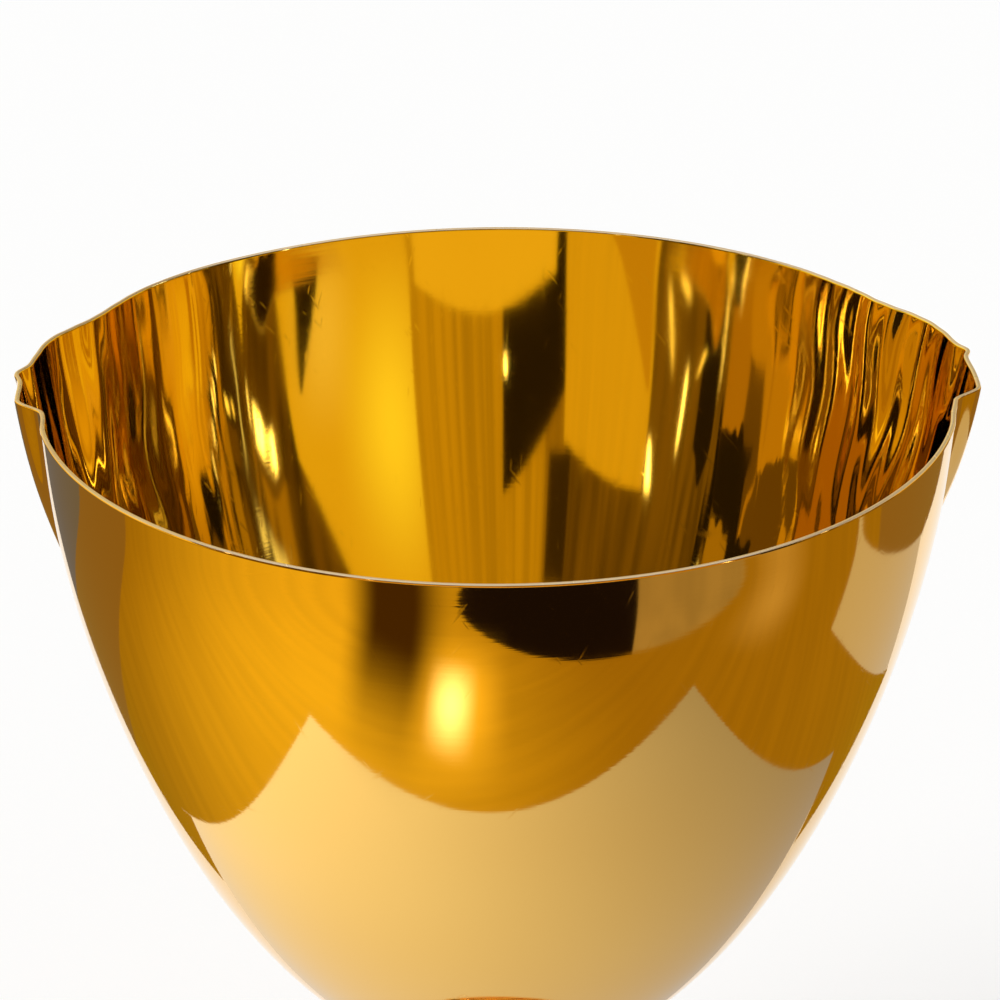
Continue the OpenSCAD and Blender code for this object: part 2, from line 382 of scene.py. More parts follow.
class Corner(NamedTuple):
    """A corner of a turned outline: its radius, its height and the length that its rounding takes."""

    r: float
    z: float
    ease: float = 0.0


def even_angles(count: int) -> np.ndarray:
    """Returns that many even angles round the axis, in radians."""
    return np.linspace(0.0, FULL_TURN_RAD, count, endpoint=False)


def ring(r: np.ndarray | float, z: np.ndarray | float, angle_rad: np.ndarray) -> np.ndarray:
    """Returns a ring of points with the given radius and height at each angle."""
    radii, heights = np.broadcast_to(r, angle_rad.shape), np.broadcast_to(z, angle_rad.shape)
    return np.stack([radii * np.cos(angle_rad), radii * np.sin(angle_rad), heights], 1)


def pole(z: float) -> np.ndarray:
    """Returns the single point on the axis that closes a surface."""
    return np.array([[0.0, 0.0, z]])


def skin(rings: Sequence[np.ndarray], closed: bool) -> MeshData:
    """Joins rings of points into one surface.

    Args:
        rings: Arrays of points; one with a single point is a pole.
        closed: True if the last ring joins the first.

    Returns:
        The points and the faces.
    """
    starts = np.cumsum([0, *(len(ring) for ring in rings)])
    faces: list[tuple[int, ...]] = []
    for i in range(len(rings) if closed else len(rings) - 1):
        k = (i + 1) % len(rings)
        a, b = int(starts[i]), int(starts[k])
        n, m = len(rings[i]), len(rings[k])
        for j in range(max(n, m)):
            step = (j + 1) % max(n, m)
            if n == 1:
                faces.append((a, b + step, b + j))
            elif m == 1:
                faces.append((a + j, a + step, b))
            else:
                faces.append((a + j, a + step, b + step, b + j))
    return np.concatenate(rings), faces


def shares(steps: int) -> list[float]:
    """Returns even shares from 0 to 1, one more than the steps."""
    return [i / steps for i in range(steps + 1)]


def ends_eased(points: Sequence[Point], ease: float) -> list[Corner]:
    """Returns the corners of a curve of which only the two ends are rounded."""
    ends = (0, len(points) - 1)
    return [Corner(*point, ease if i in ends else 0.0) for i, point in enumerate(points)]


def eased(corners: Sequence[Corner], steps: int = 6, side_parts: float = 2.1) -> list[Point]:
    """Rounds the corners of a closed outline.

    Args:
        corners: The outline's corners; a rounding of 0 keeps one sharp.
        steps: Faces on each rounding.
        side_parts: A rounding takes at most one of this many parts of a side.

    Returns:
        The points of the rounded outline.
    """
    points: list[Point] = []
    for i, corner in enumerate(corners):
        here = Vector((corner.r, corner.z))
        back = Vector(corners[i - 1][:2]) - here
        ahead = Vector(corners[(i + 1) % len(corners)][:2]) - here
        reach = min(corner.ease, back.length / side_parts, ahead.length / side_parts)
        if reach <= 0.0:
            points.append((corner.r, corner.z))
            continue
        start, end = here + back.normalized() * reach, here + ahead.normalized() * reach
        for s in shares(steps):
            p = start * (1 - s) ** 2 + here * (2 * s * (1 - s)) + end * s**2
            points.append((p.x, p.y))
    return points


def turned(corners: Sequence[Corner], around: int = 192, closed: bool = True) -> MeshData:
    """Turns an outline about the z axis.

    Args:
        corners: The outline's corners; a radius of 0 makes a pole.
        around: Points round the axis.
        closed: True for a ring, False for an outline that starts and ends on the axis.

    Returns:
        The points and the faces.
    """
    angle_rad = even_angles(around)
    return skin([ring(r, z, angle_rad) if r > 0.0 else pole(z) for r, z in eased(corners)], closed)


@functools.cache
def span(node: str) -> Triple:
    """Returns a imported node's outer radius along y, its lowest and its highest z."""
    low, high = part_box(node)
    return high.y, low.z, high.z


def flat_ring(node: str, hole: float, ease: float) -> MeshData:
    """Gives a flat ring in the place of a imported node.

    Args:
        node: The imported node.
        hole: Radius of the ring's hole.
        ease: Rounding of its edges.

    Returns:
        The points and the faces.
    """
    r, low, high = span(node)
    sides = ((hole, low), (r, low), (r, high), (hole, high))
    return turned([Corner(*side, ease) for side in sides])


def bead(node: str, hole: float, ease: float, steps: int = 40, around: int = 192) -> MeshData:
    """Gives a ring with a half-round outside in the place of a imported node.

    Args:
        node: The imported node.
        hole: Radius of the ring's hole.
        ease: Rounding of the hole's edges.
        steps: Faces on the half-round.
        around: Points round the axis.

    Returns:
        The points and the faces.
    """
    r, low, high = span(node)
    half = (high - low) / 2
    bulge = min(half, r - hole - ease)
    corners = [Corner(hole, high, ease), Corner(hole, low, ease)]
    for t in shares(steps):
        turn_rad = math.pi * (t - 0.5)
        out, up = bulge * math.cos(turn_rad), half * math.sin(turn_rad)
        corners.append(Corner(r - bulge + out, low + half + up))
    return turned(corners, around)


@dataclass(frozen=True)
class Piece:
    """One dressed piece: its name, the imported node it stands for, the body it rides on and its finish."""

    name: str
    node: str
    body: Body
    finish: Finish

    def make(self, made: MeshData, crease: float = 40.0) -> bpy.types.Object:
        """Makes the piece's object and hands it to the frame.

        Args:
            made: Its points and faces.
            crease: Edges that turn by more than this angle stay sharp.

        Returns:
            The new object.
        """
        mesh = bpy.data.meshes.new(self.name)
        mesh.from_pydata(made[0].tolist(), [], made[1])
        work = bmesh.new()
        work.from_mesh(mesh)
        bmesh.ops.recalc_face_normals(work, faces=work.faces)
        work.to_mesh(mesh)
        work.free()
        mesh.shade_smooth()
        mesh.set_sharp_from_angle(angle=math.radians(crease))
        mesh.materials.append(self.finish.material())
        piece = placed(self.name, mesh)
        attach(piece, self.body.value)
        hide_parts(self.node)
        LOG.info("%s: %d faces on %s", self.name, len(mesh.polygons), self.body.value)
        return piece


def add_finish(piece: bpy.types.Object, finish: Finish) -> int:
    """Gives a piece a further finish and returns its number there."""
    piece.data.materials.append(finish.material())
    return len(piece.data.materials) - 1


def dress_inside(piece: bpy.types.Object, finish: Finish, along_z: int, slack: float = 0.05) -> None:
    """Dresses a hollow piece's inner faces with a second finish.

    Args:
        piece: The piece.
        finish: The inner finish.
        along_z: 1 where the hollow opens upwards and -1 where it opens downwards.
        slack: How far a face may lean off before it counts as turned that way.
    """
    inside = add_finish(piece, finish)
    for face in piece.data.polygons:
        outward = face.normal.dot(Vector((face.center.x, face.center.y, 0.0)).normalized())
        if outward < -slack or (outward < slack and face.normal.z * along_z > slack):
            face.material_index = inside


def smooth(value: np.ndarray) -> np.ndarray:
    """Eases a value from 0 at -1 to 1 at +1."""
    share = np.clip(0.5 + 0.5 * value, 0.0, 1.0)
    return share * share * (3 - 2 * share)


def hump(offset: np.ndarray, width: float) -> np.ndarray:
    """Returns a bell curve: 1 at no offset, falling off over the width."""
    return np.exp(-((offset / width) ** 2))


@dataclass(frozen=True)
class PouringLip:
    """One lip pressed out of the cup's wall, the swell that this leaves behind it and the pull on the wall
    below; angles are measured from the cross diameter to the back."""

    apex: float
    front: float
    back: float
    front_ease: float
    back_ease: float
    trough: float
    nib: float
    nib_width: float
    run: float
    dying: float
    dip: float
    dip_gap: float
    swell: float
    swell_at: float
    swell_width: float
    nib_run: float = 11 * MM
    dip_width: float = 3.0
    narrowing: float = 0.45
    swell_run: float = 70 * MM
    pull: float = 0.0
    pull_at: float = 65.0
    pull_width: float = 25.0

    def reach(self, angle: np.ndarray, depth: float) -> np.ndarray:
        """Gives how far the lip moves the wall out.

        Args:
            angle: Angles from the cross diameter to the back.
            depth: Depth below the rim.

        Returns:
            The outward move at each angle.
        """
        left = max(0.0, 1 - (depth / self.run) ** self.dying)
        width = left**self.narrowing
        offset = angle - self.apex
        rise = smooth((offset + self.front * width) / self.front_ease)
        fall = smooth((self.back * width - offset) / self.back_ease)
        nib_left = max(0.0, 1 - depth / self.nib_run)
        nib = self.nib * nib_left * hump(offset, self.nib_width)
        dip = self.dip * left * hump(offset + self.front * width + self.dip_gap, self.dip_width)
        swell_left = max(0.0, 1 - depth / self.swell_run)
        swell = self.swell * swell_left * hump(angle - self.swell_at, self.swell_width)
        pulled = self.pull * min(1.0, depth / self.swell_run)
        pull = pulled * hump(angle - self.pull_at, self.pull_width)
        return self.trough * left * rise * fall + nib - dip + swell - pull


@dataclass(frozen=True)
class Crumple:
    """The small waves that pressing a lip leaves in the wall round it."""

    phase: float
    height: float = 0.06 * MM
    lean: float = 14.0
    spread: float = 20.0
    run: float = 38 * MM
    fading: float = 0.8
    drift_run: float = 9 * MM
    drift: float = 1.6
    wave: float = 33.0
    quick_rate: float = 2.4
    quick_share: float = 0.5
    quick_phase: float = 2.0
    small_wave: float = 92.0
    small_share: float = 0.5
    small_phase: float = 3.0

    def rise(self, angle: np.ndarray, depth: float) -> np.ndarray:
        """Gives how far the waves move the wall out.

        Args:
            angle: Angles from the lip's apex.
            depth: Depth below the rim.

        Returns:
            The outward move at each angle.
        """
        fade = hump(angle - self.lean, self.spread)
        fade *= max(0.0, 1 - depth / self.run) ** self.fading
        slow = math.sin(depth / self.drift_run + self.phase)
        quick = math.sin(self.quick_rate * depth / self.drift_run + self.quick_phase * self.phase)
        drift = self.drift * (slow + quick * self.quick_share)
        long_wave = np.sin(np.radians(angle + drift) * self.wave + self.phase)
        small_phase = self.small_phase * self.phase
        short_wave = np.sin(np.radians(angle - drift) * self.small_wave + small_phase)
        return self.height * fade * (long_wave + self.small_share * short_wave)


@dataclass(frozen=True)
class Cup:
    """The spun cup with its round rim edge and its two pressed lips."""

    curve_depth: float = 96 * MM
    curve_power: float = 1.6
    wall: float = 0.7 * MM
    floor: float = 1.0 * MM
    rim_lean: float = 5.0
    lean_run: float = 6 * MM
    left_lip: PouringLip = PouringLip(
        apex=4.2, front=10.4, back=15.8, front_ease=2.2, back_ease=6.0, trough=2.75 * MM, nib=1.05 * MM,
        nib_width=1.8, run=33 * MM, dying=1.4, dip=0.45 * MM, dip_gap=3.5,
        swell=1.0 * MM, swell_at=38.0, swell_width=15.0, pull=0.95 * MM)
    right_lip: PouringLip = PouringLip(
        apex=11.5, front=13.5, back=13.5, front_ease=2.2, back_ease=8.0, trough=3.05 * MM, nib=0.9 * MM,
        nib_width=1.3, run=31 * MM, dying=1.45, dip=0.25 * MM, dip_gap=6.0,
        swell=1.6 * MM, swell_at=36.0, swell_width=40.0)
    left_crumple: Crumple = Crumple(phase=2.3)
    right_crumple: Crumple = Crumple(phase=0.4, height=0.10 * MM, spread=17.0, run=55 * MM)
    around: int = 640
    along: int = 128
    edge_steps: int = 10
    crowding: float = 0.62

    def radius(self, depth: float, inset: float = 0.0) -> float:
        """Returns the radius of the plain curve at a depth, moved in by the inset; the rim leans out."""
        share = min(1.0, depth / (self.curve_depth - inset))
        lean = math.tan(math.radians(self.rim_lean)) * depth * math.exp(-depth / self.lean_run)
        return (span("cup")[0] - inset) * math.sqrt(1 - share**self.curve_power) - lean

    def height(self, r: float) -> float:
        """Returns the height at which the plain outer curve has the radius r."""
        rim_r, _, rim_z = span("cup")
        return rim_z - self.curve_depth * (1 - (r / rim_r) ** 2) ** (1 / self.curve_power)

    def wall_ring(self, angle_rad: np.ndarray, depth: float, inset: float) -> np.ndarray:
        """Gives one ring of points on the wall.

        Args:
            angle_rad: Angles about the axis, from +x.
            depth: Depth below the rim.
            inset: How far the surface lies inside the outer one.

        Returns:
            The ring's points.
        """
        turn = np.degrees(angle_rad)
        right, left = (turn + 180) % 360 - 180, (360 - turn) % 360 - 180
        out = np.full_like(turn, self.radius(depth, inset))
        sides = ((right, self.right_lip, self.right_crumple), (left, self.left_lip, self.left_crumple))
        for angle, lip, crumple in sides:
            out += lip.reach(angle, depth) + crumple.rise(angle - lip.apex, depth)
        return ring(out, span("cup")[2] - depth, angle_rad)

    def depths(self, first: float, last: float) -> Iterator[float]:
        """Yields depths from the first to the last, closer together at both ends."""
        for i in range(self.along + 1):
            yield first + (last - first) * (1 - math.cos(math.pi * i / self.along)) / 2

    def build(self) -> None:
        """Builds the cup's mesh and dresses it, with paler gold inside."""
        _, flat_z, rim_z = span("cup")
        even_rad = even_angles(self.around)
        angle_rad = even_rad - self.crowding / 2 * np.sin(2 * even_rad)
        half = self.wall / 2
        deep = rim_z - flat_z
        rings = [pole(flat_z)]
        rings += [self.wall_ring(angle_rad, depth, 0.0) for depth in self.depths(deep, half)]
        outer, inner = self.wall_ring(angle_rad, half, 0.0), self.wall_ring(angle_rad, half, self.wall)
        for i in range(1, self.edge_steps):
            turn_rad = math.pi * i / self.edge_steps
            lift = np.array([0.0, 0.0, half * math.sin(turn_rad)])
            rings.append((outer + inner) / 2 + (outer - inner) / 2 * math.cos(turn_rad) + lift)
        bottom = deep - self.floor
        rings += [self.wall_ring(angle_rad, depth, self.wall) for depth in self.depths(half, bottom)]
        rings.append(pole(flat_z + self.floor))
        shell = Piece("cup_shell", "cup", Body.CUP, GILT).make(skin(rings, closed=False), crease=60.0)
        dress_inside(shell, GILT_CUP, along_z=1)
        self.paint_edge_highlight(shell, rim_z - half)

    @staticmethod
    def paint_edge_highlight(shell: bpy.types.Object, above: float, upward: float = 0.55) -> None:
        """Dresses the top of the rim's round edge in paler, rougher gold: a painted highlight for the edge's
        reflection.

        Args:
            shell: The cup.
            above: Height above which the edge lies.
            upward: How far a face must turn up to get the painted highlight.
        """
        # Painted highlight on the upward faces of the rim's edge.
        edge = add_finish(shell, GILT_EDGE_HIGHLIGHT)
        for face in shell.data.polygons:
            if face.center.z > above and face.normal.z > upward:
                face.material_index = edge


@dataclass(frozen=True)
class CupSeat:
    """The boss brazed under the cup, the slip washer on it and the dished collar that they sit in."""

    flange_r: float = 10 * MM
    spigot_r: float = 6.8 * MM
    groove_r: float = 6.2 * MM
    flange_h: float = 2.5 * MM
    washer_gap: float = 0.2 * MM
    bore_r: float = 4.05 * MM
    bore_roof: float = 3 * MM
    fit: float = 0.3 * MM
    play: float = 0.03 * MM
    collar_edge: float = 0.9 * MM
    collar_foot_r: float = 9.6 * MM
    flare_power: float = 0.75
    steps: int = 28
    ease: float = 0.35 * MM

    def build(self) -> None:
        """Builds the boss, the washer and the collar."""
        self.build_boss()
        washer = flat_ring("slip_washer", self.groove_r + self.washer_gap, self.ease)
        Piece("washer_slip", "slip_washer", Body.WASHER, NYLON).make(washer)
        self.build_collar()

    def build_boss(self) -> None:
        """Builds the turned boss."""
        _, low, high = span("cup_boss")
        shoulder = span("slip_washer")[1] - self.washer_gap
        flange, bore_end = high - self.flange_h + self.play, high - self.bore_roof
        corners = [
            Corner(0.0, high),
            Corner(self.flange_r, high, self.ease),
            Corner(self.flange_r, flange, self.ease),
            Corner(self.groove_r, flange, self.ease / 2),
            Corner(self.groove_r, shoulder, self.ease / 2),
            Corner(self.spigot_r, shoulder, self.ease),
            Corner(self.spigot_r, low, 2 * self.ease),
            Corner(self.bore_r, low, 2 * self.ease),
            Corner(self.bore_r, bore_end),
            Corner(0.0, bore_end),
        ]
        Piece("boss_turned", "cup_boss", Body.CUP, BRASS).make(turned(corners, closed=False))

    def build_collar(self) -> None:
        """Builds the collar, hollow on its outside and dished to the cup's curve."""
        r, low, high = span("cup_collar")
        cup = Cup()
        flat_r = cup.radius(span("cup")[2] - span("cup")[1])
        shoulder = span("slip_washer")[1]
        hole, seat = self.spigot_r + self.fit, self.flange_r + self.fit
        corners = [Corner(hole, low, self.ease), Corner(hole, shoulder), Corner(seat, shoulder)]
        radii = [seat + (r - seat) * t for t in shares(self.steps)]
        dish = [(at, cup.height(max(at, flat_r)) - self.fit) for at in radii]
        reach, rise, bend = r - self.collar_foot_r, high - self.collar_edge - low, 2 * self.flare_power
        flare = [(self.collar_foot_r + reach * t * t, low + rise * t**bend) for t in shares(self.steps)]
        corners += ends_eased(dish, self.ease) + ends_eased(flare[::-1], self.ease)
        Piece("collar_dished", "cup_collar", Body.STAND, GILT).make(turned(corners))


@dataclass(frozen=True)
class Stem:
    """The stem's tubes, beads and hollow knop, with the sleeve inside it."""

    waist: float = 0.9 * MM
    rod_hole_r: float = 4.4 * MM
    boss_hole_r: float = 7.1 * MM
    band_proud: float = 0.7 * MM
    knop_wall: float = 1.0 * MM
    knop_flat_r: float = 10.5 * MM
    sleeve_r: float = 6.5 * MM
    band_h: float = 2.6 * MM
    band_seat: float = 0.5 * MM
    steps: int = 40
    ease: float = 0.3 * MM

    def build(self) -> None:
        """Builds the stem from the foot up."""
        self.build_bead("bead_lower", "lower_ring", self.rod_hole_r)
        self.build_tube("stem_tube_lower", "stem_lower", self.rod_hole_r)
        self.build_knop("knop_shell_lower", "knop_lower", -1)
        self.build_knop("knop_shell_upper", "knop_upper", 1)
        self.build_bead("bead_knop", "knop_band", self.knop_r() - self.band_seat)
        sleeve = flat_ring("knop_sleeve", self.rod_hole_r, self.ease)
        Piece("sleeve_knop", "knop_sleeve", Body.STAND, BRASS).make(sleeve)
        self.build_bead("bead_upper", "upper_ring", self.rod_hole_r)
        self.build_tube("stem_tube_upper", "stem_upper", self.boss_hole_r)

    def knop_r(self) -> float:
        """Returns the radius of the knop under its band."""
        return span("knop_band")[0] - self.band_proud

    def build_bead(self, name: str, node: str, hole: float) -> None:
        """Builds a ring with a half-round outside, with the given name, node and hole."""
        Piece(name, node, Body.STAND, GILT).make(bead(node, hole, self.ease))

    def build_tube(self, name: str, node: str, hole: float) -> None:
        """Builds a stem tube with a shallow waist.

        Args:
            name: The piece's name.
            node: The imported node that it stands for.
            hole: Radius of its bore.
        """
        r, low, high = span(node)
        corners = [Corner(hole, high, self.ease), Corner(hole, low, self.ease)]
        side = [(r - self.waist * math.sin(math.pi * t), low + (high - low) * t) for t in shares(self.steps)]
        Piece(name, node, Body.STAND, GILT).make(turned(corners + ends_eased(side, self.ease)))

    def build_knop(self, name: str, node: str, side: int) -> None:
        """Builds one half of the hollow knop.

        Args:
            name: The piece's name.
            node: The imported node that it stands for.
            side: 1 for the upper half and -1 for the lower one.
        """
        _, low, high = span(node)
        seam, pole = (low, high) if side > 0 else (high, low)
        half, outer_r = high - low, self.knop_r()
        semi = half / math.sqrt(1 - (self.knop_flat_r / outer_r) ** 2)
        seat, lip_z = outer_r - self.band_seat, seam + side * self.band_h / 2
        first_rad, last_rad = math.asin(self.band_h / 2 / semi), math.asin(half / semi)
        corners = [Corner(seat, seam), Corner(seat, lip_z)]
        for t in shares(self.steps):
            turn_rad = first_rad + (last_rad - first_rad) * t
            out, up = outer_r * math.cos(turn_rad), semi * math.sin(turn_rad)
            corners.append(Corner(out, seam + side * up, self.ease if t == 1.0 else 0.0))
        corners += [Corner(self.sleeve_r, pole), Corner(self.sleeve_r, pole - side * self.knop_wall)]
        inner_r, inner_semi = outer_r - self.knop_wall, semi - self.knop_wall
        end_rad = math.asin((half - self.knop_wall) / inner_semi)
        for t in reversed(shares(self.steps)):
            out, up = inner_r * math.cos(end_rad * t), inner_semi * math.sin(end_rad * t)
            corners.append(Corner(out, seam + side * up))
        Piece(name, node, Body.STAND, GILT).make(turned(corners))


@dataclass(frozen=True)
class Foot:
    """The spun trumpet foot, the heavy rim under it and the plate in its neck."""

    neck_r: float = 11 * MM
    power: float = 2.4
    wall: float = 1.0 * MM
    web: float = 1.5 * MM
    rim_w: float = 7 * MM
    rod_hole_r: float = 4.4 * MM
    steps: int = 90
    rim_around: int = 320
    ease: float = 0.3 * MM

    def build(self) -> None:
        """Builds the trumpet, the rim and the plate."""
        self.build_trumpet()
        rim = bead("foot_rim", span("foot_rim")[0] - self.rim_w, self.ease, self.steps, self.rim_around)
        Piece("foot_bead", "foot_rim", Body.STAND, GILT).make(rim)
        plate = flat_ring("foot_plate", self.rod_hole_r, self.ease)
        Piece("plate_neck", "foot_plate", Body.STAND, BRASS).make(plate)

    def trumpet(self, t: float, inset: float) -> Point:
        """Gives a point of the trumpet.

        Args:
            t: Share of the trumpet's height.
            inset: How far the point lies inside the outer surface.

        Returns:
            Its radius and height.
        """
        r, low, high = span("foot")
        reach, tall = r - self.neck_r, high - low
        slope = -reach * self.power * (1 - t) ** (self.power - 1) / tall
        shrink = inset / math.sqrt(1 + slope * slope)
        return self.neck_r + reach * (1 - t) ** self.power - shrink, low + tall * t + shrink * slope

    def build_trumpet(self) -> None:
        """Builds the trumpet, polished outside and satin inside."""
        _, low, high = span("foot")
        corners = ends_eased([self.trumpet(t, 0.0) for t in shares(self.steps)], self.ease)
        roof = high - self.web
        inside_top = 1 - self.web / (high - low)
        inside = [self.trumpet(inside_top * t, self.wall) for t in reversed(shares(self.steps))]
        corners += [Corner(self.rod_hole_r, high), Corner(self.rod_hole_r, roof), Corner(inside[0][0], roof)]
        corners += [Corner(r, z) for r, z in inside if low < z < roof]
        last = corners[-1]
        flare = (inside[-1][0] - inside[-2][0]) / (inside[-2][1] - inside[-1][1])
        corners.append(Corner(last.r + flare * (last.z - low), low))
        shell = Piece("foot_trumpet", "foot", Body.STAND, GILT).make(turned(corners))
        dress_inside(shell, GILT_SATIN, along_z=-1)


@dataclass(frozen=True)
class TieRod:
    """The threaded rod through the stem, with its washer and hexagon nut inside the foot."""

    pitch: float = 1.25 * MM
    thread_depth: float = 0.7 * MM
    thread_flank: float = 1.25
    lower_thread: float = 22 * MM
    upper_thread: float = 14 * MM
    bevel: float = 0.8 * MM
    thread_steps: int = 8
    around: int = 60
    washer_hole_r: float = 4.4 * MM
    nut_face_share: float = 0.96
    nut_bevel: float = 28.0
    thread_gap: float = 0.05 * MM
    ease: float = 0.25 * MM

    def build(self) -> None:
        """Builds the rod, the washer and the nut."""
        self.build_rod()
        washer = flat_ring("tie_washer", self.washer_hole_r, self.ease)
        Piece("washer_tie", "tie_washer", Body.STAND, STEEL).make(washer)
        self.build_nut()

    def cut(self, z: float, angle_rad: np.ndarray, low: float, high: float) -> np.ndarray:
        """Gives the share of the thread's depth that is cut at a height.

        Args:
            z: The height.
            angle_rad: Angles round the axis.
            low: Height at which the lower thread runs out.
            high: Height at which the upper thread runs out.

        Returns:
            The share at each angle.
        """
        turn = (z / self.pitch - angle_rad / FULL_TURN_RAD) % 1.0
        groove = np.clip(self.thread_flank * (1 - 2 * np.abs(turn - 0.5)), 0.0, 1.0)
        run_out = max(low - z, z - high) / self.pitch
        return groove * min(1.0, max(0.0, run_out))

    def build_rod(self) -> None:
        """Builds the rod with its two cut threads."""
        r, low, high = span("tie_rod")
        angle_rad = even_angles(self.around)
        step = self.pitch / self.thread_steps
        plain_low, plain_high = low + self.lower_thread, high - self.upper_thread
        heights = [*np.arange(low, plain_low, step), *np.arange(plain_high, high, step), high]
        rings = [pole(low)]
        for z in heights:
            threaded = r - self.thread_depth * self.cut(z, angle_rad, plain_low, plain_high)
            bevelled = r - self.bevel + min(z - low, high - z)
            rings.append(ring(np.minimum(threaded, bevelled), z, angle_rad))
        rings.append(pole(high))
        Piece("rod_threaded", "tie_rod", Body.STAND, STEEL).make(skin(rings, closed=False), crease=75.0)

    def build_nut(self) -> None:
        """Builds the hexagon nut with bevelled corners."""
        flat_r, low, high = span("tie_nut")
        angle_rad = even_angles(2 * self.around)
        side_rad = math.pi / 3
        hexagon = flat_r / np.cos(angle_rad % side_rad - side_rad / 2)
        bore = span("tie_rod")[0] + self.thread_gap
        mouth, face = bore + self.bevel / 2, self.nut_face_share * flat_r
        drop = (hexagon - face) * math.tan(math.radians(self.nut_bevel))
        steps = ((bore, self.bevel / 2), (mouth, 0.0), (face, 0.0), (hexagon, drop))
        rings = [ring(r, low + inset, angle_rad) for r, inset in steps]
        rings += [ring(r, high - inset, angle_rad) for r, inset in reversed(steps)]
        Piece("nut_hexagon", "tie_nut", Body.STAND, STEEL).make(skin(rings, closed=True), crease=20.0)


@dataclass(frozen=True)
class Grain:
    """Streaks on a card: noise scale along each axis, their turn about z, their depth and softness."""

    scale: Triple
    turn: float
    depth: float
    soft: float = 0.2


@dataclass(frozen=True)
class Pool:
    """A pool of light on a card: its centre on the floor, how far it reaches and its colour."""

    centre: Point
    reach: float
    colour: Colour


@dataclass(frozen=True)
class CardFinish:
    """The even light of a studio card, with its streaks, its pool of light and the fade of its edges."""

    name: str
    colour: Colour
    level: float = 1.0
    grain: Grain | None = None
    pool: Pool | None = None
    fade: float = 0.0
    cover: float = 1.0

    def material(self) -> bpy.types.Material:
        """Returns the card's material."""
        return made_once(self.name, self.shader)

    def shader(self, sheet: NodeSheet) -> bpy.types.NodeSocket:
        """Adds the card's nodes and returns its shader."""
        inputs = {
            "Base Color": (0.0, 0.0, 0.0, 1.0),
            "Specular IOR Level": 0.0,
            "Emission Color": self.lit(sheet),
            "Emission Strength": self.level,
        }
        glow = sheet.shader("ShaderNodeBsdfPrincipled", inputs)
        if not self.fade:
            return glow
        chart = sheet.node("ShaderNodeSeparateXYZ", None, {0: sheet.wire("ShaderNodeTexCoord", output="UV")})
        share: Any = self.cover
        for side in (0, 1):
            along = Wire(sheet, chart.outputs[side])
            share = share * along.eased(0.0, self.fade) * along.eased(1.0, 1.0 - self.fade)
        clear = sheet.shader("ShaderNodeBsdfTransparent")
        return sheet.shader("ShaderNodeMixShader", {0: share, 1: clear, 2: glow})

    def lit(self, sheet: NodeSheet) -> Any:
        """Adds the nodes of the card's colour and returns it."""
        colour: Any = (*self.colour, 1.0)
        if self.pool:
            flat = sheet.vector("MULTIPLY", sheet.place(), (1.0, 1.0, 0.0))
            distance = sheet.vector("DISTANCE", flat, (*self.pool.centre, 0.0), "Value")
            colour = sheet.blend(distance.eased(self.pool.reach, 0.0), self.colour, self.pool.colour)
        if self.grain:
            turn = (0.0, 0.0, self.grain.turn)
            streaks = sheet.noise(sheet.stretched(sheet.place(), self.grain.scale, turn), detail=3.0)
            soft = self.grain.soft
            dimmed = 1 - self.grain.depth * streaks.eased(0.5 - soft, 0.5 + soft)
            held = colour if self.pool else self.colour
            colour = sheet.wire("ShaderNodeVectorMath", {"operation": "SCALE"}, {0: held, "Scale": dimmed})
        return colour


BLACK_CARD = CardFinish("flag_black", (0.02, 0.013, 0.003))


@dataclass(frozen=True)
class Card:
    """A studio card that only the polished metal shows; each kind says where its points lie."""

    name: str
    finish: CardFinish
    layer: int
    corners: Quad

    def across(self, u: float, v: float) -> Vector:
        """Returns the point between the four corners at the shares u and v of the card's sides."""
        a, b, c, d = (Vector(corner) for corner in self.corners)
        return (a * (1 - u) + b * u) * (1 - v) + (d * (1 - u) + c * u) * v

    def point(self, u: float, v: float) -> Triple:
        """Returns the card's point in the studio at the shares u and v of its sides."""
        raise NotImplementedError

    def build(self, wide: int = 96, high: int = 12) -> None:
        """Builds the card as a grid and hides it from everything but reflections.

        Args:
            wide: Faces along its first side.
            high: Faces along its second side.
        """
        row = wide + 1
        points = [self.point(i / wide, k / high) for k in range(high + 1) for i in range(row)]
        starts = [k * row + i for k in range(high) for i in range(wide)]
        faces = [(s, s + 1, s + 1 + row, s + row) for s in starts]
        mesh = bpy.data.meshes.new(self.name)
        mesh.from_pydata(points, [], faces)
        chart = mesh.uv_layers.new(name="chart")
        for loop in mesh.loops:
            chart.data[loop.index].uv = (loop.vertex_index % row / wide, loop.vertex_index // row / high)
        mesh.materials.append(self.finish.material())
        card = placed(self.name, mesh)
        card.visible_camera = card.visible_diffuse = False
        card.visible_shadow = card.visible_transmission = False


@dataclass(frozen=True)
class FloorCard(Card):
    """A card that lies on the floor, given by the x and y of its four corners in order."""

    layer_gap: float = 0.4 * MM

    def point(self, u: float, v: float) -> Triple:
        """Returns the point on the floor at those shares."""
        at = self.across(u, v)
        return at.x, at.y, self.layer * self.layer_gap


@dataclass(frozen=True)
class WallCard(Card):
    """An upright card round the part, given by the azimuth and elevation of its four corners, as seen
    from the rim's centre; azimuth 0 is towards the camera, 90 is +x and 180 is behind."""

    arch: float = 0.0
    distance: float = 1.16
    layer_gap: float = 0.006

    def point(self, u: float, v: float) -> Triple:
        """Returns the point on the wall at those shares; the far edge rises by the arch."""
        at = self.across(u, v)
        reach = self.distance - self.layer * self.layer_gap
        turn_rad = math.radians(at.x)
        tilt_rad = math.radians(at.y + self.arch * v * (1 - (2 * u - 1) ** 2))
        rise = reach * math.tan(tilt_rad)
        return reach * math.sin(turn_rad), -reach * math.cos(turn_rad), span("cup")[2] + rise


def panel(azimuth: Point, elevation: Point) -> Quad:
    """Returns the corners of an upright panel between two azimuths and two elevations."""
    (left, right), (low, high) = azimuth, elevation
    return (left, low), (right, low), (right, high), (left, high)


